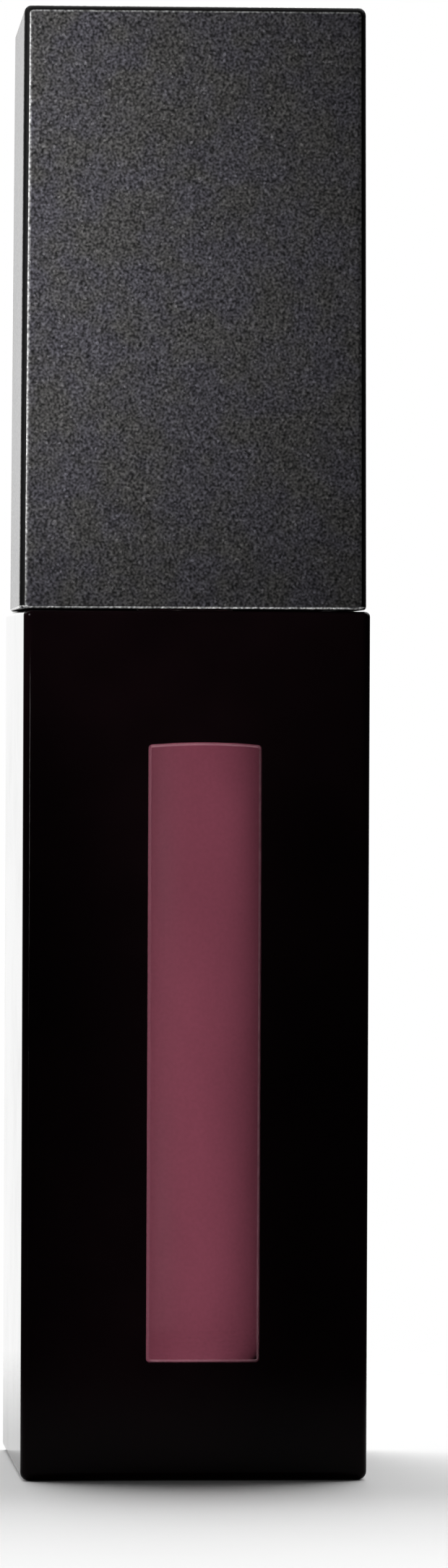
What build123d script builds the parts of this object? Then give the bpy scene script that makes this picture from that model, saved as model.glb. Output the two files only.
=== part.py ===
"""A liquid lip colour case: a square shell round a clear vial, closed by a screw cap that carries the wand.

Units are millimetres, +Z is up the long axis and the window faces -Y. The origin is the middle of the base.
The case is closed: the cap is screwed down to its stop.
"""

import os
from math import atan2, degrees

from build123d import *

# Outside sizes
WIDTH = 20.0  # across the flats of the case and of the cap's mouth
CASE_HEIGHT = 50.0
SEAM = 0.08  # open line between the case and the closed cap
CAP_HEIGHT = 34.62
CAP_TOP_WIDTH = 19.67  # the cap's sides lean in by a mould draft
EDGE_ROUND = 0.5  # corner edges, base edge and cap top
CASE_RIM_ROUND = 0.3  # top edge of the case
CAP_RIM_ROUND = 0.18  # bottom edge of the cap
CLOSED_TURN = -1.5  # degrees: the closed cap stops this far past square

# Lower case
CASE_WALL = 1.6
SHOULDER = 1.8  # thickness of the plate round the neck
CAVITY_ROUND = 1.5
RIB_THICK = 1.2  # upright ribs that centre the vial

# Window in the front wall
WINDOW_WIDTH = 6.55
WINDOW_BOTTOM = 6.8
WINDOW_TOP = 42.3
WINDOW_RISE = 0.15  # height of the arch of its top edge
WINDOW_SHIFT = 0.47  # its middle is this far towards +X
WINDOW_CORNER = 0.25
PANE_GAP = 0.03
PANE_FRONT = 0.9  # depth of the part of the pane that fills the opening
PANE_FLANGE = 0.8  # thickness and overlap of its flange behind the wall
PANE_BEVEL = 0.14

# Vial
VIAL_RADIUS = 6.7
VIAL_WALL = 1.0
VIAL_BASE = 4.2  # height of its underside
VIAL_FLOOR = 5.6  # height of the floor inside
FLOOR_ROUND = 3.0
FILL_LEVEL = 44.0
NECK_TOP = 62.6
COLLAR_RADIUS = 6.1  # plain band that fits the hole in the shoulder
KEY_WIDTH = 1.6  # two keys on that band stop the vial turning
KEY_REACH = 0.8

# Screw thread: right-hand, two starts
STARTS = 2
PITCH = 2.0
LEAD = STARTS * PITCH  # rise for one whole turn
NECK_RADIUS = 5.3
MALE_CREST = 6.0
FEMALE_ROOT = 6.15
FEMALE_CREST = 5.5
RIDGE_ROOT = 1.0  # width of a ridge where it leaves the wall
RIDGE_CREST = 0.5
EMBED = 0.06  # how far a ridge's foot is sunk into its wall
RUN_OUT = 1.6  # length over which a ridge's end slopes down to its wall
THREAD_FOOT = 53.5  # height where the neck's ridges begin
THREAD_TURNS = 1.75
CAP_THREAD_TURNS = 1.5

# Wiper
WIPER_BORE = 4.15  # radius of the neck's bore, which the wiper fills
WIPER_FLANGE = 0.7
WIPER_ORIFICE = 2.3

# Cap insert
SKIRT_RADIUS = 7.5
CAP_WALL = 1.5
CAP_CROWN = 1.8
INSERT_RECESS = 0.4  # its mouth sits this far inside the cap's rim
INSERT_GAP = 0.03  # glue gap between the insert and the cap
LINER_THICK = 0.6
LINER_GAP = 0.03
FIN = 0.9
POST_RADIUS = 4.5
SOCKET_RADIUS = 2.9
SOCKET_DEPTH = 8.0

# Wand
STEM_RADIUS = 2.0
PLUG_RADIUS = 3.4  # the swelling that seals the wiper's mouth
STEM_END = 27.0
TIP_END = 13.0
TIP_RADIUS = 2.2
TIP_LENGTH = 11.0
FLOCK_THICK = 0.35
PEG_RADIUS = 1.1
PEG_LENGTH = 5.0
SLANT = 24.0  # degrees between the tip's flat face and its axis

# Base
BASE_RECESS = 0.3
PLUG_THICK = 1.8
LABEL_SIDE = 11.6
LABEL_THICK = 0.1
LABEL_RECESS = 0.15

# Heights that follow from the above
CASE_CEILING = CASE_HEIGHT - SHOULDER
CAP_FOOT = CASE_HEIGHT + SEAM
CAP_TOP = CAP_FOOT + CAP_HEIGHT
CAP_CEILING = CAP_TOP - CAP_CROWN
WIPER_TOP = NECK_TOP + WIPER_FLANGE
INSERT_FOOT = CAP_FOOT + INSERT_RECESS
INSERT_CEILING = WIPER_TOP + LINER_GAP + LINER_THICK
CAVITY_WIDTH = WIDTH - 2 * CASE_WALL


def disc(radius, bottom, top):
    """A cylinder on the long axis, from one height to another."""
    return Pos(0, 0, bottom) * extrude(Circle(radius), top - bottom)


def square_prism(side, corner, bottom, top):
    """An upright square bar with rounded corner edges."""
    return Pos(0, 0, bottom) * extrude(RectangleRounded(side, side, corner), top - bottom)


def block(centre, size):
    """A box given by its middle and its three sides."""
    return Pos(*centre) * Box(*size)


def turned(*points):
    """A solid of revolution about the long axis, from its (radius, height) outline."""
    outline = make_face(Polyline(*[(r, 0, z) for r, z in points], close=True))
    return revolve(outline, Axis.Z)


def tapered_bar(foot_side, top_side, corner, bottom, top):
    """An upright square bar whose sides lean in towards the top."""
    foot = Pos(0, 0, bottom) * RectangleRounded(foot_side, foot_side, corner)
    head = Pos(0, 0, top) * RectangleRounded(top_side, top_side, corner)
    return loft([foot, head], ruled=True)


def level_edges(shape, height):
    """The edges that lie flat at one height."""
    return shape.edges().filter_by_position(Axis.Z, height - 1e-3, height + 1e-3)


# ---- Screw thread ----
def ridge(wall, crest, foot, turns, start):
    """One thread ridge: a trapezoid swept up a right-hand helix, with sloping ends.

    wall is the radius of the surface that it stands on, and crest the radius that it reaches.
    """
    outward = 1 if crest > wall else -1
    sunk = wall - outward * EMBED
    path = Helix(pitch=LEAD, height=LEAD * turns, radius=wall)
    half_root, half_crest = RIDGE_ROOT / 2, RIDGE_CREST / 2
    outline = [(sunk, -half_root), (crest, -half_crest), (crest, half_crest), (sunk, half_root)]
    section = make_face(Polyline(*[(r, 0, z) for r, z in outline], close=True))
    solid = sweep(section, path=path, is_frenet=True)
    solid -= end_slope(sunk, crest, -1)
    solid -= Pos(0, 0, LEAD * turns) * (Rot(0, 0, 360 * turns) * end_slope(sunk, crest, 1))
    return Rot(0, 0, start) * (Pos(0, 0, foot) * solid)


def end_slope(sunk, crest, side):
    """The block that slopes a ridge's end: side is 1 at its upper end and -1 at its lower end."""
    size = 4.0
    lean = degrees(atan2(-RUN_OUT * side, crest - sunk))
    away = side if crest > sunk else -side
    cutter = Pos(0, away * size / 2, 0) * Box(size, size, 2 * PITCH)
    return Pos(sunk, 0, 0) * (Rot(0, 0, lean) * cutter)


def thread(wall, crest, foot, turns, phase=0.0):
    """Every start of the thread, evenly spaced round the axis."""
    return [ridge(wall, crest, foot, turns, phase + k * 360 / STARTS) for k in range(STARTS)]


# ---- Lower case ----
def window_outline(grow):
    """The window's outline on the XZ plane, made larger all round by grow, with an arched top."""
    half = WINDOW_WIDTH / 2 + grow
    low, high = WINDOW_BOTTOM - grow, WINDOW_TOP + grow
    left, right = WINDOW_SHIFT - half, WINDOW_SHIFT + half
    sides = Polyline((left, high), (left, low), (right, low), (right, high))
    arch = ThreePointArc((left, high), (WINDOW_SHIFT, high + WINDOW_RISE), (right, high))
    face = make_face([sides.edges()[0], sides.edges()[1], sides.edges()[2], arch])
    return fillet(face.vertices(), WINDOW_CORNER)


def window_bar(grow, front, back):
    """The window's outline as a bar through the front wall, between two Y places."""
    flat = Plane(origin=(0, back, 0), x_dir=(1, 0, 0), z_dir=(0, -1, 0))
    return extrude(flat * window_outline(grow), back - front)


def outer_case():
    """Square shell, open below, with the window opening and the keyed neck hole."""
    body = square_prism(WIDTH, EDGE_ROUND, 0, CASE_HEIGHT)
    body = fillet(level_edges(body, 0), EDGE_ROUND - 0.02)
    body = fillet(level_edges(body, CASE_HEIGHT), CASE_RIM_ROUND)
    body -= square_prism(CAVITY_WIDTH, CAVITY_ROUND, -1, CASE_CEILING)

    inner = CAVITY_WIDTH / 2
    reach = inner - VIAL_RADIUS - 0.1
    rib_foot = 12.0
    rib_height = CASE_CEILING - rib_foot
    middle = (rib_foot + CASE_CEILING) / 2
    for angle in (0, 90, 180):
        rib = block((inner - reach / 2 + 0.2, 0, middle), (reach + 0.4, RIB_THICK, rib_height))
        body += Rot(0, 0, angle) * rib

    front = -WIDTH / 2
    body -= window_bar(0, front - 1, front + CASE_WALL + 1)
    body -= window_bar(PANE_FLANGE, front + PANE_FRONT, front + CASE_WALL + 1)
    body -= disc(COLLAR_RADIUS + 0.05, CASE_CEILING - 1, CASE_HEIGHT + 1)
    return body - neck_keys(0.05)


def neck_keys(grow):
    """The two keys on the vial's collar, or with grow their slots in the shoulder."""
    across = 2 * (COLLAR_RADIUS + KEY_REACH + grow)
    height = SHOULDER + (2 if grow else 0)
    return block((0, 0, CASE_HEIGHT - SHOULDER / 2), (across, KEY_WIDTH + 2 * grow, height))


def window_pane():
    """Clear pane: a bevelled front that fills the opening, and a flange behind the wall."""
    front = -WIDTH / 2
    back = front + CASE_WALL + 0.1
    pane = window_bar(-PANE_GAP, front, back)
    face_edges = pane.faces().sort_by(Axis.Y)[0].edges()
    pane = chamfer(face_edges, PANE_BEVEL)
    return pane + window_bar(PANE_FLANGE - PANE_GAP, front + PANE_FRONT + PANE_GAP, back)


# ---- Vial and what it holds ----
def vial_hollow():
    """The space inside the vial, from its floor to the foot of the neck's bore."""
    inside = VIAL_RADIUS - VIAL_WALL
    body = turned(
        (0, VIAL_FLOOR),
        (inside, VIAL_FLOOR),
        (inside, CASE_CEILING - 3.4),
        (WIPER_BORE, CASE_CEILING - 1.4),
        (WIPER_BORE, CASE_CEILING),
        (0, CASE_CEILING),
    )
    return fillet(level_edges(body, VIAL_FLOOR), FLOOR_ROUND)


def inner_bottle():
    """Clear vial with a keyed collar and a threaded neck."""
    body = disc(VIAL_RADIUS, VIAL_BASE, CASE_CEILING)
    body = fillet(level_edges(body, VIAL_BASE), 0.8)
    body += disc(NECK_RADIUS, CASE_CEILING, NECK_TOP)
    collar = disc(COLLAR_RADIUS, CASE_CEILING, CASE_HEIGHT) + neck_keys(0)
    body += collar
    body = chamfer(level_edges(body, NECK_TOP), 0.25)
    for one in thread(NECK_RADIUS, MALE_CREST, THREAD_FOOT, THREAD_TURNS):
        body += one
    body -= vial_hollow()
    return body - disc(WIPER_BORE, CASE_CEILING - 0.5, NECK_TOP + 1)


def lip_pigment():
    """The product: it fills the vial and leaves the channel that the wand stands in."""
    body = vial_hollow() & disc(VIAL_RADIUS, VIAL_FLOOR - 1, FILL_LEVEL)
    return body - disc(TIP_RADIUS + 0.3, TIP_END - 0.5, FILL_LEVEL + 1)


def wiper():
    """Soft insert: a flange on the neck's rim and a cone that narrows to the orifice."""
    skin = 0.6
    foot = NECK_TOP - 12.5
    mouth = WIPER_BORE - skin
    lip = foot + 1.4
    return turned(
        (WIPER_BORE + 0.7, WIPER_TOP),
        (mouth + 0.1, WIPER_TOP),
        (mouth, WIPER_TOP - 0.3),
        (mouth, NECK_TOP - 4.0),
        (WIPER_ORIFICE, lip),
        (WIPER_ORIFICE, foot),
        (WIPER_ORIFICE + 0.5, foot),
        (WIPER_BORE - 0.25, foot + 4.4),
        (WIPER_BORE, foot + 4.8),
        (WIPER_BORE, NECK_TOP),
        (WIPER_BORE + 0.7, NECK_TOP),
    )


# ---- Base ----
def base_plug():
    """Square plug: a plate let in from below, a ring round the vial and a cross that it stands on."""
    plate_top = BASE_RECESS + PLUG_THICK
    side = CAVITY_WIDTH - 2 * INSERT_GAP
    body = square_prism(side, CAVITY_ROUND - INSERT_GAP, BASE_RECESS, plate_top)
    ring = disc(VIAL_RADIUS + 0.7, plate_top, WINDOW_BOTTOM - 1.0)
    ring -= disc(VIAL_RADIUS + 0.05, plate_top, WINDOW_BOTTOM)
    body += ring
    for size in ((2 * VIAL_RADIUS + 0.8, 1.2), (1.2, 2 * VIAL_RADIUS + 0.8)):
        stand = (VIAL_BASE + plate_top) / 2
        body += block((0, 0, stand), (*size, VIAL_BASE - plate_top))
    recess = square_prism(LABEL_SIDE + 0.4, 0.8, 0, BASE_RECESS + LABEL_RECESS)
    return body - recess


def shade_label():
    """Blank label stuck in the plug's recess."""
    top = BASE_RECESS + LABEL_RECESS
    return square_prism(LABEL_SIDE, 0.6, top - LABEL_THICK, top)


# ---- Cap ----
def outer_cap():
    """Square cap with a mould draft, hollow from below."""
    body = tapered_bar(WIDTH, CAP_TOP_WIDTH, EDGE_ROUND, CAP_FOOT, CAP_TOP)
    body = fillet(level_edges(body, CAP_TOP), EDGE_ROUND - 0.05)
    body = fillet(level_edges(body, CAP_FOOT), CAP_RIM_ROUND)
    return body - cap_hollow(0)


def cap_hollow(gap):
    """The space inside the cap, or with a gap the insert's envelope inside it."""
    lean = (WIDTH - CAP_TOP_WIDTH) / CAP_HEIGHT
    foot_side = WIDTH - 2 * CAP_WALL - 2 * gap
    top_side = foot_side - lean * (CAP_CEILING - CAP_FOOT)
    return tapered_bar(foot_side, top_side, 1.2 - gap, CAP_FOOT - 0.01, CAP_CEILING - gap)


def inner_cap():
    """Threaded insert: skirt, mouth flange, ceiling, fins to the cap's walls and the wand's socket."""
    envelope = cap_hollow(INSERT_GAP)
    plate_top = INSERT_CEILING + 1.5
    fin_top = CAP_CEILING - INSERT_GAP
    body = disc(SKIRT_RADIUS, INSERT_FOOT, plate_top)
    body += square_prism(WIDTH, 0.5, INSERT_FOOT, INSERT_FOOT + 1.0) & envelope
    body += disc(POST_RADIUS, plate_top - 0.1, INSERT_CEILING + SOCKET_DEPTH + 1.5)

    fin_foot = INSERT_FOOT + 0.5
    height = fin_top - fin_foot
    middle = (fin_top + fin_foot) / 2
    fins = []
    for angle in (0, 90):
        for place in (-4.2, 4.2):
            fins.append(Rot(0, 0, angle) * block((0, place, middle), (WIDTH, FIN, height)))
        fins.append(Rot(0, 0, angle) * block((0, 0, middle), (WIDTH, FIN, height)))
    core = disc(SKIRT_RADIUS - 0.3, fin_foot - 1, plate_top - 0.1)
    for fin in fins:
        body += (fin - core) & envelope

    body -= disc(FEMALE_ROOT, INSERT_FOOT - 1, INSERT_CEILING)
    mouth = level_edges(body, INSERT_FOOT).filter_by(GeomType.CIRCLE)
    body = chamfer(mouth.filter_by(lambda e: abs(e.radius - FEMALE_ROOT) < 0.01), 0.4)
    body -= disc(SOCKET_RADIUS, INSERT_CEILING - 1, INSERT_CEILING + SOCKET_DEPTH)
    foot = THREAD_FOOT + PITCH / 2
    for one in thread(FEMALE_ROOT, FEMALE_CREST, foot, CAP_THREAD_TURNS):
        body += one
    return body


def cap_liner():
    """Sealing washer under the insert's ceiling."""
    low = INSERT_CEILING - LINER_THICK
    return disc(FEMALE_ROOT - 0.1, low, INSERT_CEILING) - disc(PLUG_RADIUS + 0.1, low - 1, CAP_TOP)


# ---- Wand ----
def wand_stem():
    """Rod with a sealing plug and a barbed head, and a socket below for the tip."""
    plug_foot = WIPER_TOP - 3.0
    head_top = INSERT_CEILING + SOCKET_DEPTH - 0.3
    barb = SOCKET_RADIUS - 0.02
    core = SOCKET_RADIUS - 0.35
    body = turned(
        (0, STEM_END),
        (STEM_RADIUS - 0.2, STEM_END),
        (STEM_RADIUS, STEM_END + 0.2),
        (STEM_RADIUS, plug_foot - 1.2),
        (PLUG_RADIUS, plug_foot),
        (PLUG_RADIUS, INSERT_CEILING),
        (core, INSERT_CEILING),
        (core, INSERT_CEILING + 1.2),
        (barb, INSERT_CEILING + 1.6),
        (core, INSERT_CEILING + 3.2),
        (barb, INSERT_CEILING + 3.6),
        (core, INSERT_CEILING + 5.2),
        (barb, INSERT_CEILING + 5.6),
        (core, head_top),
        (0, head_top),
    )
    return body - disc(PEG_RADIUS, STEM_END - 1, STEM_END + PEG_LENGTH)


def doe_foot(radius):
    """The tip's shape at one radius: a rounded bar whose end is cut to a soft-edged slanted face."""
    shrink = TIP_RADIUS - radius
    low = TIP_END + shrink
    high = TIP_END + TIP_LENGTH - shrink
    bar = disc(radius, low, high)
    bar = fillet(level_edges(bar, low), radius * 0.62)
    bar = fillet(level_edges(bar, high), radius * 0.4)
    reach = 20.0
    cutter = Pos(reach / 2 - shrink, 0, 0) * Box(reach, reach, 3 * reach)
    bar -= Pos(-0.6 * TIP_RADIUS, 0, TIP_END + 0.6) * (Rot(0, SLANT, 0) * cutter)
    slanted = bar.faces().filter_by(lambda face: 0.1 < abs(face.normal_at().Z) < 0.9)
    return fillet(slanted.filter_by(GeomType.PLANE).edges(), 0.5 - 0.7 * shrink)


def applicator_core():
    """Flexible tip: a peg for the rod, a slim neck and the flat-faced head under the flock."""
    neck_foot = TIP_END + TIP_LENGTH - FLOCK_THICK - 0.5
    neck = disc(STEM_RADIUS - 0.4, neck_foot, STEM_END)
    peg = disc(PEG_RADIUS, STEM_END - 0.1, STEM_END + PEG_LENGTH - 0.2)
    return doe_foot(TIP_RADIUS - FLOCK_THICK) + neck + peg


def applicator_flock():
    """Flocked skin round the tip's head."""
    return doe_foot(TIP_RADIUS) - applicator_core()


def main():
    """Build every piece, stop the cap where it closes, and write the STEP files."""
    case_side = [outer_case, window_pane, inner_bottle, lip_pigment, wiper, base_plug, shade_label]
    cap_side = [outer_cap, inner_cap, cap_liner, wand_stem, applicator_core, applicator_flock]
    os.makedirs("parts", exist_ok=True)
    for make in case_side:
        export_step(make(), f"parts/{make.__name__}.step")
    for make in cap_side:
        export_step(Rot(0, 0, CLOSED_TURN) * make(), f"parts/{make.__name__}.step")


main()
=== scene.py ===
"""Looks for the liquid lip colour case: materials, finer pieces, studio light and camera round its frame.

Blender works in metres. Sizes here are named in millimetres and multiplied by MM.
"""

import random
from math import cos, pi, radians, sin

import bmesh
import bpy
from mathutils import Matrix, Vector


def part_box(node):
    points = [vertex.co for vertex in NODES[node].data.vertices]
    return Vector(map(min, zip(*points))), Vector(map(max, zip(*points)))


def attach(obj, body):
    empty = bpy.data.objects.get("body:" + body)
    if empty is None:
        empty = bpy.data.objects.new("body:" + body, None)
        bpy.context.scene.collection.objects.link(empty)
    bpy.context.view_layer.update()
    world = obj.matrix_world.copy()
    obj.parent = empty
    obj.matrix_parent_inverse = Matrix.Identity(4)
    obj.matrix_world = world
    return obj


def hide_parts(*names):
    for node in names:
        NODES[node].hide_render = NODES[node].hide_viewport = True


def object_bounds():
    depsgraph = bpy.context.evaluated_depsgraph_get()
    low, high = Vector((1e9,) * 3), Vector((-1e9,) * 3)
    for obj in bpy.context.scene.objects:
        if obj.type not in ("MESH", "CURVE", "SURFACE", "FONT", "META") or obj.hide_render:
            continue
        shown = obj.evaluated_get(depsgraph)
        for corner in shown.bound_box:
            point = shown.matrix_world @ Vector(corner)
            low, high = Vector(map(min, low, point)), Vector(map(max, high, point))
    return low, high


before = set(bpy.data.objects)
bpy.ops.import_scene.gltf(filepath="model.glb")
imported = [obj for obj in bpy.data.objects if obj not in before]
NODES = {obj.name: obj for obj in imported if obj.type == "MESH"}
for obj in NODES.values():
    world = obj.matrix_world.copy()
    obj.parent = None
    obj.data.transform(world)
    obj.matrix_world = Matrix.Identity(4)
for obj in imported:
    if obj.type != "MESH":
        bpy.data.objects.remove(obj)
cad_low, cad_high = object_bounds()

MM = 0.001

# Places read from the frame
BASE = Vector((0.0, 0.0, cad_low[2]))
CASE_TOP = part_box("outer_case")[1].z
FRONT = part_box("outer_case")[0].y
WIPER_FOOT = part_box("wiper")[0].z

# Surfaces and finer shapes
GRAIN_TURN = (0.62, 0.41, 0.93)  # radians; keeps the faces off the planes where the paint's grain fades
BEVEL_FROST = 0.25  # share of the light that the pane's ground bevel scatters
CAP_SKIN = 0.6  # outer part of the cap's wall that the paint can reach
CHANNEL_GAP = 0.3  # clearance round the tip in the channel that the wand leaves in the pigment
FLOOR_CURVE = 3.0  # radius of the pigment's rounded foot
MENISCUS = 0.35  # how far the pigment creeps up the vial's wall
FIBRE_COUNT = 5200
FIBRE_LENGTH = (0.14, 0.24)
FIBRE_WIDTH = 0.035
LATHE_SEGMENTS = 256

# Studio
FLOOR_RADIUS = 110.0
FLOOR_FADE = (22.0, 85.0)  # distances from the object over which the floor gives way to the backdrop
FLOOR_DROP = 0.02  # hairline under the base, so that the two surfaces don't coincide
CAMERA_AT = (-35.4, -478.0, 45.5)
CAMERA_TARGET = (1.555, FRONT / MM, 40.06)
CAMERA_LENS = 187.65
CAMERA_ROLL = 0.25  # degrees
WHITE = (1.0, 1.0, 1.0, 1.0)

# Colours, linear
PIGMENT = (0.36, 0.092, 0.142)
INK = (0.0028, 0.0012, 0.0016)
WARM_GRAPHITE = (0.0518, 0.0505, 0.0497)
COOL_GRAPHITE = (0.0512, 0.0497, 0.0575)
# bare black inside the cap and under its rim; on the outer part of its rounded edges it is painted dark
# reflection
BARE_BLACK_AND_PAINTED_EDGE_SHADE = (0.0020, 0.0020, 0.0021)
# painted highlight: colour of the bright line round each face of the cap
PAINTED_EDGE_HIGHLIGHT = (0.088, 0.088, 0.088)
GROUND_BEVEL_PIGMENT_LIGHT = (0.75, 0.40, 0.47)  # ground bevels; the pink tint is painted light from the pigment behind them
TOP_PAINTED_HIGHLIGHT, RIM_PAINTED_HIGHLIGHT = 2.1, 6.0  # painted highlight: how much brighter the painted highlight line is along the cap's top and its rim


# ---- Shader helpers ----
def link(tree, value, socket):
    """Give a socket a plain value or another node's output."""
    if isinstance(value, bpy.types.NodeSocket):
        tree.links.new(value, socket)
    else:
        socket.default_value = value


def node(tree, kind, settings=(), **inputs):
    """A new node with its properties and its inputs, whose names have _ for a space."""
    made = tree.nodes.new(kind)
    for key, value in dict(settings).items():
        setattr(made, key, value)
    for key, value in inputs.items():
        link(tree, value, made.inputs[key.replace("_", " ")])
    return made


def math(tree, operation, first, second=0.0, clamp=False):
    """The output of a Math node."""
    made = tree.nodes.new("ShaderNodeMath")
    made.operation, made.use_clamp = operation, clamp
    link(tree, first, made.inputs[0])
    link(tree, second, made.inputs[1])
    return made.outputs[0]


def blend_colour(tree, share, first, second, mode="MIX"):
    """Two colours mixed by a share."""
    made = tree.nodes.new("ShaderNodeMix")
    made.data_type, made.blend_type = "RGBA", mode
    link(tree, share, made.inputs[0])
    for value, socket in ((first, made.inputs[6]), (second, made.inputs[7])):
        link(tree, (*value, 1.0) if isinstance(value, tuple) else value, socket)
    return made.outputs[2]


def mix_shaders(tree, share, first, second):
    """Two shaders mixed by a share."""
    mix = tree.nodes.new("ShaderNodeMixShader")
    for value, socket in zip((share, first.outputs[0], second.outputs[0]), mix.inputs):
        link(tree, value, socket)
    return mix


def remap(tree, value, low, high, new_low, new_high):
    """A value's range stretched to a new one, and clamped to it."""
    made = tree.nodes.new("ShaderNodeMapRange")
    for socket, given in zip(made.inputs, (value, low, high, new_low, new_high)):
        link(tree, given, socket)
    return made.outputs[0]


def place(tree, stretch=(1.0, 1.0, 1.0), turn=(0.0, 0.0, 0.0)):
    """The piece's own coordinates in millimetres, stretched along each axis and then turned."""
    coordinates = tree.nodes.new("ShaderNodeTexCoord").outputs["Object"]
    made = tree.nodes.new("ShaderNodeMapping")
    made.inputs["Scale"].default_value = tuple(k / MM for k in stretch)
    made.inputs["Rotation"].default_value = turn
    tree.links.new(coordinates, made.inputs["Vector"])
    return made.outputs[0]


def height(tree):
    """A point's height on the piece, in millimetres."""
    made = tree.nodes.new("ShaderNodeSeparateXYZ")
    tree.links.new(place(tree), made.inputs[0])
    return made.outputs["Z"]


def noise(tree, per_mm, detail=3.0, stretch=(1.0, 1.0, 1.0), rough=0.5):
    """Noise with this many features in a millimetre."""
    where = place(tree, stretch)
    made = node(tree, "ShaderNodeTexNoise", Vector=where, Scale=per_mm, Detail=detail, Roughness=rough)
    return made.outputs["Fac"]


def bump(tree, value, rise_mm, normal=None):
    """A bump normal whose full rise is this many millimetres."""
    made = node(tree, "ShaderNodeBump", Height=value, Strength=1.0, Distance=rise_mm * MM)
    if normal is not None:
        tree.links.new(normal, made.inputs["Normal"])
    return made.outputs[0]


def material(name):
    """A new material with a Principled shader: returns it, its tree and the shader."""
    made = bpy.data.materials.new(name)
    made.use_nodes = True
    return made, made.node_tree, made.node_tree.nodes["Principled BSDF"]


# ---- Materials ----
def gloss_black():
    """Ink-black moulded gloss with faint smears, hair scratches and a soft moulding ripple."""
    made, tree, shader = material("gloss_black_plastic")
    smear = remap(tree, noise(tree, 0.16, 4.0), 0.4, 0.7, 0.0, 1.0)
    hairs = remap(tree, noise(tree, 6.0, 1.0, (1.0, 1.0, 0.02)), 0.70, 0.74, 0.0, 0.04)
    link(tree, blend_colour(tree, smear, INK, tuple(1.5 * c for c in INK)), shader.inputs["Base Color"])
    haze = remap(tree, smear, 0.0, 1.0, 0.05, 0.10)
    link(tree, math(tree, "ADD", haze, hairs), shader.inputs["Roughness"])
    link(tree, bump(tree, noise(tree, 0.7, 1.0), 0.0006), shader.inputs["Normal"])
    shader.inputs["Specular IOR Level"].default_value = 0.04
    return made


def axis_lean(tree, output):
    """The largest part of a normal along any axis: 1 on a flat face, less on a rounded edge."""
    split = tree.nodes.new("ShaderNodeSeparateXYZ")
    link(tree, tree.nodes.new("ShaderNodeNewGeometry").outputs[output], split.inputs[0])
    parts = [math(tree, "ABSOLUTE", split.outputs[axis]) for axis in "XYZ"]
    return math(tree, "MAXIMUM", math(tree, "MAXIMUM", parts[0], parts[1]), parts[2])


def painted(tree):
    """1 on the cap's outer faces, which the paint reaches, and 0 inside it and under its rim."""
    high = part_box("outer_cap")[1] / MM
    split = node(tree, "ShaderNodeSeparateXYZ", Vector=place(tree))
    facing = tree.nodes.new("ShaderNodeSeparateXYZ")
    link(tree, tree.nodes.new("ShaderNodeNewGeometry").outputs["True Normal"], facing.inputs[0])
    aside = [math(tree, "ABSOLUTE", split.outputs[axis]) for axis in "XY"]
    side = math(tree, "GREATER_THAN", math(tree, "MAXIMUM", *aside), high.x - 1.5 * CAP_SKIN)
    top = math(tree, "GREATER_THAN", split.outputs["Z"], high.z - CAP_SKIN)
    upward = math(tree, "GREATER_THAN", facing.outputs["Z"], -0.8)
    return math(tree, "MULTIPLY", math(tree, "MAXIMUM", side, top), upward)


def tilted_normal(tree, colour, amount):
    """The surface normal leant a little by a random colour, a different way on each flake."""
    centred = node(tree, "ShaderNodeVectorMath", {"operation": "SUBTRACT"})
    link(tree, colour, centred.inputs[0])
    centred.inputs[1].default_value = (0.5, 0.5, 0.5)
    tilt = node(tree, "ShaderNodeVectorMath", {"operation": "SCALE"})
    link(tree, centred.outputs[0], tilt.inputs[0])
    tilt.inputs["Scale"].default_value = amount
    leant = node(tree, "ShaderNodeVectorMath", {"operation": "ADD"})
    link(tree, tree.nodes.new("ShaderNodeNewGeometry").outputs["Normal"], leant.inputs[0])
    link(tree, tilt.outputs[0], leant.inputs[1])
    unit = node(tree, "ShaderNodeVectorMath", {"operation": "NORMALIZE"})
    link(tree, leant.outputs[0], unit.inputs[0])
    return unit.outputs[0]


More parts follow.
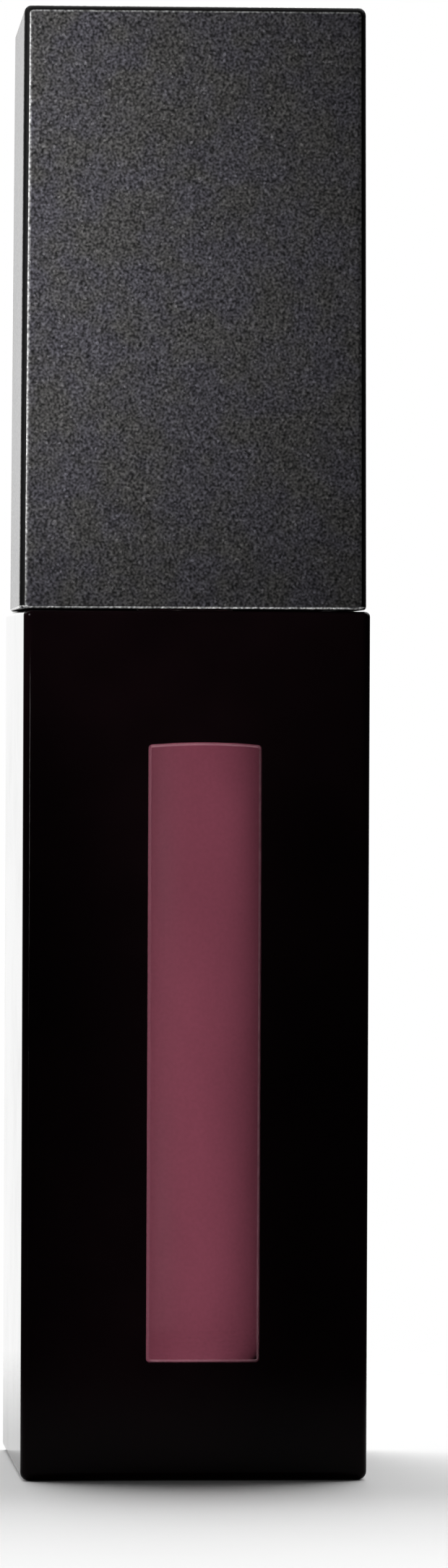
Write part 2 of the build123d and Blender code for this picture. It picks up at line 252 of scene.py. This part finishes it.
def graphite_metallic():
    """Metallic paint: fine grain of tilted flakes, a painted highlight line round each face and painted
    dark reflection on the edges.
    """
    made, tree, shader = material("graphite_metallic_paint")
    flakes = node(
        tree, "ShaderNodeTexVoronoi", {"feature": "F1"}, Vector=place(tree), Scale=8.0, Randomness=1.0
    )
    tones = node(tree, "ShaderNodeSeparateColor", Color=flakes.outputs["Color"])
    speckle = node(tree, "ShaderNodeTexNoise", Vector=place(tree, turn=GRAIN_TURN), Scale=6.6, Detail=0.0)
    grain = math(tree, "POWER", remap(tree, speckle.outputs["Fac"], 0.10, 0.90, 0.40, 1.60), 1.95)
    shade = remap(tree, tones.outputs["Red"], 0.0, 1.0, 0.88, 1.12)
    glint = remap(tree, tones.outputs["Green"], 0.955, 1.0, 0.0, 1.3)
    cloud = remap(tree, noise(tree, 0.35, 3.0), 0.3, 0.7, 0.99, 1.01)
    lift = math(tree, "MULTIPLY", math(tree, "ADD", math(tree, "MULTIPLY", shade, grain), glint), cloud)
    hue = remap(tree, noise(tree, 0.45, 2.0), 0.38, 0.62, 0.0, 1.0)
    tint = blend_colour(tree, hue, WARM_GRAPHITE, COOL_GRAPHITE)
    colour = blend_colour(tree, 1.0, tint, lift, "MULTIPLY")

    facing = tree.nodes.new("ShaderNodeSeparateXYZ")
    link(tree, tree.nodes.new("ShaderNodeNewGeometry").outputs["Normal"], facing.inputs[0])
    waver = remap(tree, noise(tree, 3.0), 0.3, 0.7, -0.004, 0.004)
    lean = math(tree, "ADD", axis_lean(tree, "Normal"), waver)
    # painted highlight: the edge line is painted brighter where it faces up, along the top, and brighter
    # still where it faces down, along the rim
    upper = remap(tree, facing.outputs["Z"], 0.04, 0.12, 1.0, TOP_PAINTED_HIGHLIGHT)
    level = math(tree, "MAXIMUM", upper, remap(tree, facing.outputs["Z"], -0.12, -0.04, RIM_PAINTED_HIGHLIGHT, 1.0))
    painted_highlight_line = blend_colour(tree, 1.0, PAINTED_EDGE_HIGHLIGHT, math(tree, "MULTIPLY", lift, level), "MULTIPLY")
    # painted highlight: the band of each rounded edge next to a face takes the bright edge colour
    colour = blend_colour(tree, remap(tree, lean, 0.975, 0.992, 0.0, 1.0), painted_highlight_line, colour)
    # painted dark reflection: the outer part of each rounded edge is painted bare black; facing down the
    # band is narrower, so the rim's highlight line is wider
    foot = remap(tree, facing.outputs["Z"], -0.12, -0.04, 0.20, 0.0)
    reach = remap(tree, math(tree, "ADD", lean, foot), 0.915, 0.935, 0.0, 1.0)
    paint = math(tree, "MULTIPLY", painted(tree), reach)
    link(tree, blend_colour(tree, paint, BARE_BLACK_AND_PAINTED_EDGE_SHADE, colour), shader.inputs["Base Color"])
    link(tree, tilted_normal(tree, flakes.outputs["Color"], 0.045), shader.inputs["Normal"])
    link(tree, remap(tree, tones.outputs["Blue"], 0.0, 1.0, 0.48, 0.62), shader.inputs["Roughness"])
    link(tree, math(tree, "MULTIPLY", paint, 0.85), shader.inputs["Metallic"])
    link(tree, math(tree, "MULTIPLY", paint, 0.5), shader.inputs["Coat Weight"])
    shader.inputs["Specular IOR Level"].default_value = 0.06
    shader.inputs["Coat Roughness"].default_value = 0.2
    return made


def clear_plastic(name, tint, index, smear_share, shine_share=1.0, frost=None, rim=None):
    """Clear moulded plastic: it lets light through and mirrors by its angle, with faint smears.

    shine_share scales the mirror, frost is the share of it that scatters light like ground glass, and rim
    is how far the wall darkens where it is seen edge on.
    """
    made, tree, shader = material(name)
    tree.nodes.remove(shader)
    output = tree.nodes["Material Output"]
    surface = tree.nodes.new("ShaderNodeNewGeometry")
    see = node(tree, "ShaderNodeBsdfTransparent", Color=(*tint, 1.0))
    if rim is not None:
        edge_on = math(tree, "POWER", node(tree, "ShaderNodeLayerWeight", Blend=0.5).outputs["Facing"], 3.0)
        deep = tuple(0.5 * c for c in tint)
        depth = math(tree, "MULTIPLY", edge_on, rim(tree))
        link(tree, blend_colour(tree, depth, tint, deep), see.inputs["Color"])
    smear = remap(tree, noise(tree, 0.3, 4.0), 0.45, 0.75, 0.02, 0.02 + smear_share)
    ripple = bump(tree, noise(tree, 0.5, 1.0), 0.0008, surface.outputs["True Normal"])
    shine = node(tree, "ShaderNodeBsdfGlossy", Color=WHITE, Roughness=smear, Normal=ripple)
    outside = math(tree, "SUBTRACT", 1.0, surface.outputs["Backfacing"])
    share = math(tree, "MULTIPLY", node(tree, "ShaderNodeFresnel", IOR=index).outputs[0], outside)
    scale = shine_share if isinstance(shine_share, float) else shine_share(tree)
    share = math(tree, "MULTIPLY", share, scale)
    clear = mix_shaders(tree, share, see, shine)
    if frost is not None:
        ground = node(tree, "ShaderNodeBsdfDiffuse", Color=(*GROUND_BEVEL_PIGMENT_LIGHT, 1.0))
        clear = mix_shaders(tree, math(tree, "MULTIPLY", frost(tree), outside), clear, ground)
    link(tree, clear.outputs[0], output.inputs["Surface"])
    return made


def on_bevels(tree):
    """A fine ground finish on the pane's bevels, with painted light: fainter on the bevel that leans to -X
    and brighter on the one that leans to +X.
    """
    split = tree.nodes.new("ShaderNodeSeparateXYZ")
    link(tree, tree.nodes.new("ShaderNodeNewGeometry").outputs["True Normal"], split.inputs[0])
    lean = math(tree, "ABSOLUTE", split.outputs["Y"])
    finish = remap(tree, lean, 0.85, 0.98, BEVEL_FROST, 0.0)
    # painted light: the bevel leaning to +X gets more of the finish and the one leaning to -X less
    finish = math(tree, "MULTIPLY", finish, remap(tree, split.outputs["X"], -0.6, 0.6, 0.3, 1.9))
    return math(tree, "MULTIPLY", finish, remap(tree, noise(tree, 1.5, 2.0), 0.3, 0.7, 0.8, 1.2))


def above_case(tree):
    """The vial shows its own mirror only where it stands clear of the dark case."""
    edge = CASE_TOP / MM
    return remap(tree, height(tree), edge - 2.0, edge - 1.0, 0.0, 1.0)


def pigment():
    """Thick satin lip colour with slow swirls of a deeper tone."""
    made, tree, shader = material("lip_pigment_cream")
    swirl = remap(tree, noise(tree, 0.22, 4.0, (1.0, 1.0, 0.35)), 0.35, 0.65, 0.0, 1.0)
    grain = remap(tree, noise(tree, 5.0, 2.0), 0.3, 0.7, 0.95, 1.05)
    tone = blend_colour(tree, swirl, tuple(0.94 * c for c in PIGMENT), tuple(1.04 * c for c in PIGMENT))
    link(tree, blend_colour(tree, 1.0, tone, grain, "MULTIPLY"), shader.inputs["Base Color"])
    link(tree, remap(tree, swirl, 0.0, 1.0, 0.44, 0.54), shader.inputs["Roughness"])
    link(tree, bump(tree, noise(tree, 0.8, 3.0), 0.004), shader.inputs["Normal"])
    shader.inputs["Specular IOR Level"].default_value = 0.04
    shader.inputs["Diffuse Roughness"].default_value = 1.0
    return made


def moulded(name, colour, rough, grain_per_mm, rise_mm, vary=0.12, translucent=0.0):
    """Moulded plastic or rubber: a fine mould texture, with tone and sheen that wander a little."""
    made, tree, shader = material(name)
    wander = remap(tree, noise(tree, 0.25, 4.0), 0.35, 0.65, 0.0, 1.0)
    darker, lighter = (tuple((1 + k) * c for c in colour) for k in (-vary, vary))
    link(tree, blend_colour(tree, wander, darker, lighter), shader.inputs["Base Color"])
    link(tree, remap(tree, wander, 0.0, 1.0, rough - 0.05, rough + 0.06), shader.inputs["Roughness"])
    link(tree, bump(tree, noise(tree, grain_per_mm, 3.0), rise_mm), shader.inputs["Normal"])
    if translucent:
        shader.inputs["Subsurface Weight"].default_value = translucent
        shader.inputs["Subsurface Radius"].default_value = (0.0010, 0.0009, 0.0008)
        shader.inputs["Subsurface Scale"].default_value = 1.0
    return made


def label_paper():
    """Coated label stock with fine fibres."""
    made, tree, shader = material("label_stock")
    fibre = noise(tree, 3.0, 5.0, (1.0, 0.35, 1.0))
    fleck = remap(tree, fibre, 0.35, 0.65, 0.0, 1.0)
    colour = blend_colour(tree, fleck, (0.70, 0.69, 0.66), (0.80, 0.79, 0.77))
    link(tree, colour, shader.inputs["Base Color"])
    link(tree, remap(tree, fleck, 0.0, 1.0, 0.5, 0.62), shader.inputs["Roughness"])
    link(tree, bump(tree, fibre, 0.006), shader.inputs["Normal"])
    return made


def foam():
    """Closed-cell foam: pale, with small open bubbles, each with painted shade in its hollow."""
    made, tree, shader = material("liner_foam")
    cells = node(tree, "ShaderNodeTexVoronoi", {"feature": "F1"}, Vector=place(tree), Scale=7.0)
    depth = cells.outputs["Distance"]
    # painted shade: each bubble is darker towards its centre, where the bump sinks deepest
    tone = remap(tree, depth, 0.0, 0.7, 0.0, 1.0)
    colour = blend_colour(tree, tone, (0.66, 0.65, 0.62), (0.80, 0.80, 0.78))
    link(tree, colour, shader.inputs["Base Color"])
    link(tree, remap(tree, tone, 0.0, 1.0, 0.7, 0.85), shader.inputs["Roughness"])
    link(tree, bump(tree, depth, 0.03), shader.inputs["Normal"])
    return made


def stained(name, colour, rough, edge, fade_mm, share=1.0):
    """A wand piece that has stood in the product: below a height it wears a patchy film of pigment."""
    made, tree, shader = material(name)
    patch = noise(tree, 0.9, 4.0, (1.0, 1.0, 0.4))
    depth = remap(tree, height(tree), (edge - fade_mm * MM) / MM, edge / MM, 1.0, 0.0)
    film = math(tree, "SUBTRACT", math(tree, "MULTIPLY", depth, 1.6), patch, clamp=True)
    film = remap(tree, film, 0.0, 0.35, 0.0, share)
    wet = tuple(0.65 * c for c in PIGMENT)
    link(tree, blend_colour(tree, film, colour, wet), shader.inputs["Base Color"])
    link(tree, remap(tree, film, 0.0, 1.0, rough, 0.28), shader.inputs["Roughness"])
    link(tree, bump(tree, math(tree, "ADD", film, noise(tree, 3.0)), 0.02), shader.inputs["Normal"])
    return made


# ---- Applying the materials ----
def dress(name, made):
    """Give a CAD node one material."""
    slots = NODES[name].data.materials
    slots.clear()
    slots.append(made)


def dress_all():
    """Every CAD node but the hidden lip_pigment gets its procedural material."""
    tip_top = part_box("applicator_flock")[1].z
    dress("outer_case", gloss_black())
    dress("outer_cap", graphite_metallic())
    pane_tint = (0.99, 0.985, 0.985)
    dress("window_pane", clear_plastic("window_pane_clear", pane_tint, 1.2, 0.04, 1.0, on_bevels))
    vial_tint = (0.97, 0.975, 0.975)
    dress("inner_bottle", clear_plastic("vial_clear", vial_tint, 1.45, 0.06, above_case, None, above_case))
    dress("wiper", stained("wiper_soft", (0.62, 0.61, 0.58), 0.42, WIPER_FOOT + 7 * MM, 5.0, 0.9))
    dress("base_plug", moulded("base_black", (0.010, 0.010, 0.011), 0.5, 9.0, 0.012))
    dress("shade_label", label_paper())
    dress("inner_cap", moulded("insert_black", (0.013, 0.013, 0.014), 0.4, 3.0, 0.006))
    dress("cap_liner", foam())
    dress("wand_stem", stained("stem_black", (0.010, 0.010, 0.011), 0.16, WIPER_FOOT, 14.0))
    dress("applicator_core", stained("tip_rubber", (0.40, 0.33, 0.31), 0.5, tip_top + 6 * MM, 2.0))
    dress("applicator_flock", stained("flock_soaked", (0.46, 0.30, 0.30), 0.85, tip_top + 6 * MM, 2.0))


# ---- Pieces ----
def add_piece(name, mesh, body, made):
    """Put a mesh in the scene as a piece that rides on a body, with a material."""
    mesh.materials.append(made)
    obj = bpy.data.objects.new(name, mesh)
    bpy.context.scene.collection.objects.link(obj)
    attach(obj, body)
    return obj


def arc(centre, radius, first, last, steps):
    """Points of an arc in the (radius, height) plane, between two angles in degrees."""
    angles = [radians(first + (last - first) * k / steps) for k in range(steps + 1)]
    return [(centre[0] + radius * cos(a), centre[1] + radius * sin(a)) for a in angles]


def lathe(name, outline, segments):
    """A closed mesh: a (radius, height) outline that starts and ends on the long axis, turned about it."""
    form = bmesh.new()
    poles = [form.verts.new((0.0, 0.0, outline[end][1] * MM)) for end in (0, -1)]
    rings = []
    turns = [2 * pi * k / segments for k in range(segments)]
    for radius, level in outline[1:-1]:
        reach, rise = radius * MM, level * MM
        rings.append([form.verts.new((reach * cos(t), reach * sin(t), rise)) for t in turns])
    for k in range(segments):
        after = (k + 1) % segments
        form.faces.new((poles[0], rings[0][after], rings[0][k]))
        form.faces.new((poles[1], rings[-1][k], rings[-1][after]))
        for lower, upper in zip(rings, rings[1:]):
            form.faces.new((lower[k], lower[after], upper[after], upper[k]))
    bmesh.ops.recalc_face_normals(form, faces=form.faces)
    mesh = bpy.data.meshes.new(name)
    form.to_mesh(mesh)
    form.free()
    mesh.shade_smooth()
    mesh.set_sharp_from_angle(angle=radians(50))
    return mesh


def pigment_fill():
    """The product in the vial: rounded foot, meniscus at its top and the channel that the wand leaves."""
    low, high = (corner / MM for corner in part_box("lip_pigment"))
    tip_low, tip_high = (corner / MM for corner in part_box("applicator_flock"))
    radius, channel = high.x, tip_high.x + CHANNEL_GAP
    outline = [(0.0, low.z)]
    outline += arc((radius - FLOOR_CURVE, low.z + FLOOR_CURVE), FLOOR_CURVE, -90, 0, 16)
    outline += [(radius, low.z + (high.z - low.z) * k / 24) for k in range(4, 24)]
    outline += [(radius, high.z)]
    outline += [(radius - MENISCUS + dx, high.z - dz) for dx, dz in arc((0, 0), MENISCUS, 0, 90, 6)[1:]]
    outline += [(channel + 0.2, high.z - MENISCUS), (channel, high.z - MENISCUS - 0.2)]
    outline += arc((channel - 0.6, tip_low.z - 0.5 + 0.6), 0.6, 0, -90, 6)
    outline += [(0.0, tip_low.z - 0.5)]
    mesh = lathe("pigment_fill", outline, LATHE_SEGMENTS)
    piece = add_piece("pigment_fill", mesh, "case", pigment())
    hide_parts("lip_pigment")


def outward(triangle):
    """Whether a triangle of the flocked skin faces out, and not in towards the rubber tip."""
    centre = triangle.center
    return triangle.normal.dot(Vector((centre.x, centre.y, 0.0))) > 0 or triangle.normal.z < -0.2


def flock_fibres():
    """Short upright fibres all over the flocked tip, each a thin three-sided spike with its own lean."""
    rng = random.Random(7)
    skin = NODES["applicator_flock"].data
    skin.calc_loop_triangles()
    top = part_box("applicator_flock")[1].z - 0.5 * MM
    spots = [t for t in skin.loop_triangles if outward(t) and t.center.z < top]
    chosen = rng.choices(spots, weights=[t.area for t in spots], k=FIBRE_COUNT)
    form = bmesh.new()
    for triangle in chosen:
        corners = [skin.vertices[i].co for i in triangle.vertices]
        first, second = sorted((rng.random(), rng.random()))
        foot = corners[0] * first + corners[1] * (second - first) + corners[2] * (1 - second)
        lean = Vector((rng.gauss(0, 0.25), rng.gauss(0, 0.25), rng.gauss(0, 0.25)))
        rise = (triangle.normal + lean).normalized() * rng.uniform(*FIBRE_LENGTH) * MM
        across = rise.orthogonal().normalized() * FIBRE_WIDTH * MM / 2
        turn = Matrix.Rotation(2 * pi / 3, 3, rise)
        sunk = foot - rise * 0.15
        ring = [form.verts.new(sunk + side) for side in (across, turn @ across, turn @ turn @ across)]
        point = form.verts.new(foot + rise)
        form.faces.new(reversed(ring))
        for k in range(3):
            form.faces.new((ring[k], ring[(k + 1) % 3], point))
    mesh = bpy.data.meshes.new("flock_fibres")
    form.to_mesh(mesh)
    form.free()
    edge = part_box("applicator_flock")[1].z + 6 * MM
    soaked = stained("fibre_soaked", (0.50, 0.33, 0.33), 0.8, edge, 2.0)
    add_piece("flock_fibres", mesh, "cap", soaked)


# ---- Studio ----
def aim(obj, target, roll=0.0):
    """Turn an object so that its -Z points at a target, rolled about that line."""
    towards = (target - obj.location).to_track_quat("-Z", "Y")
    obj.rotation_euler = (towards.to_matrix() @ Matrix.Rotation(roll, 3, "Z")).to_euler()


def soft_box(name, where_mm, target_mm, size_mm, watts, spread=180, shadow=True):
    """A rectangular soft light, whose spread in degrees is narrow behind a grid."""
    lamp = bpy.data.lights.new(name, "AREA")
    lamp.shape = "RECTANGLE"
    lamp.size, lamp.size_y = (s * MM for s in size_mm)
    lamp.energy, lamp.spread, lamp.use_shadow = watts, radians(spread), shadow
    obj = bpy.data.objects.new(name, lamp)
    bpy.context.scene.collection.objects.link(obj)
    obj.location = BASE + Vector(where_mm) * MM
    obj.visible_camera = False
    aim(obj, BASE + Vector(target_mm) * MM)
    return obj


def floor():
    """A round pale table top with a soft edge, clear from below so that the base can be seen."""
    mesh = bpy.data.meshes.new("studio_floor")
    form = bmesh.new()
    bmesh.ops.create_circle(form, cap_ends=True, segments=180, radius=FLOOR_RADIUS * MM)
    form.to_mesh(mesh)
    form.free()
    obj = bpy.data.objects.new("studio_floor", mesh)
    bpy.context.scene.collection.objects.link(obj)
    obj.location = BASE + Vector((0.0, 0.0, -FLOOR_DROP)) * MM
    made, tree, shader = material("studio_floor_paper")
    tone = remap(tree, noise(tree, 0.02, 4.0), 0.3, 0.7, 0.0, 1.0)
    colour = blend_colour(tree, tone, (0.80, 0.80, 0.80), (0.84, 0.84, 0.84))
    link(tree, colour, shader.inputs["Base Color"])
    shader.inputs["Roughness"].default_value = 0.9
    shader.inputs["Specular IOR Level"].default_value = 0.1
    under = tree.nodes.new("ShaderNodeNewGeometry").outputs["Backfacing"]
    away = node(tree, "ShaderNodeVectorMath", {"operation": "LENGTH"}, Vector=place(tree)).outputs["Value"]
    gone = math(tree, "MAXIMUM", under, remap(tree, away, *FLOOR_FADE, 0.0, 1.0))
    clear = tree.nodes.new("ShaderNodeBsdfTransparent")
    sheet = mix_shaders(tree, gone, shader, clear)
    link(tree, sheet.outputs[0], tree.nodes["Material Output"].inputs["Surface"])
    mesh.materials.append(made)


def studio_world():
    """A white backdrop: the studio is bright behind the object and dimmer in front of it."""
    world = bpy.data.worlds.new("studio")
    bpy.context.scene.world = world
    world.use_nodes = True
    tree = world.node_tree
    tree.nodes.clear()
    direction = tree.nodes.new("ShaderNodeTexCoord").outputs["Generated"]
    split = node(tree, "ShaderNodeSeparateXYZ", Vector=direction)
    behind = remap(tree, split.outputs["Y"], 0.75, 0.95, 0.05, 1.5)
    rear = remap(tree, split.outputs["Y"], 0.05, 0.30, 0.0, 1.0)
    above = math(tree, "MULTIPLY", remap(tree, split.outputs["Z"], 0.25, 0.6, 0.0, 3.8), rear)
    level = math(tree, "MAXIMUM", behind, above)
    studio = node(tree, "ShaderNodeBackground", Color=WHITE, Strength=level)
    backdrop = node(tree, "ShaderNodeBackground", Color=WHITE, Strength=1.0)
    seen = tree.nodes.new("ShaderNodeLightPath").outputs["Is Camera Ray"]
    mix = mix_shaders(tree, seen, studio, backdrop)
    output = tree.nodes.new("ShaderNodeOutputWorld")
    link(tree, mix.outputs[0], output.inputs["Surface"])


def camera():
    """A long lens, slightly left of straight on and at mid height."""
    data = bpy.data.cameras.new("camera")
    data.lens, data.sensor_width = CAMERA_LENS, 36.0
    obj = bpy.data.objects.new("camera", data)
    bpy.context.scene.collection.objects.link(obj)
    obj.location = BASE + Vector(CAMERA_AT) * MM
    aim(obj, BASE + Vector(CAMERA_TARGET) * MM, radians(CAMERA_ROLL))
    bpy.context.scene.camera = obj


def main():
    """Build the looks, then the studio."""
    dress_all()
    pigment_fill()
    flock_fibres()
    floor()
    studio_world()
    soft_box("window_light", (-54, -100, 24.5), (0.5, -5, 24.5), (6, 44), 0.000615, 6, False)
    soft_box("near_key", (-30, -33.5, 76), (-1, -10, 70.5), (14, 44), 0.0088, 64)
    soft_box("lifted_cap_fill", (-62, -76, 124), (0, -8, 121), (22, 34), 0.0035, 24)
    camera()
    bpy.context.scene.view_settings.view_transform = "Standard"


main()
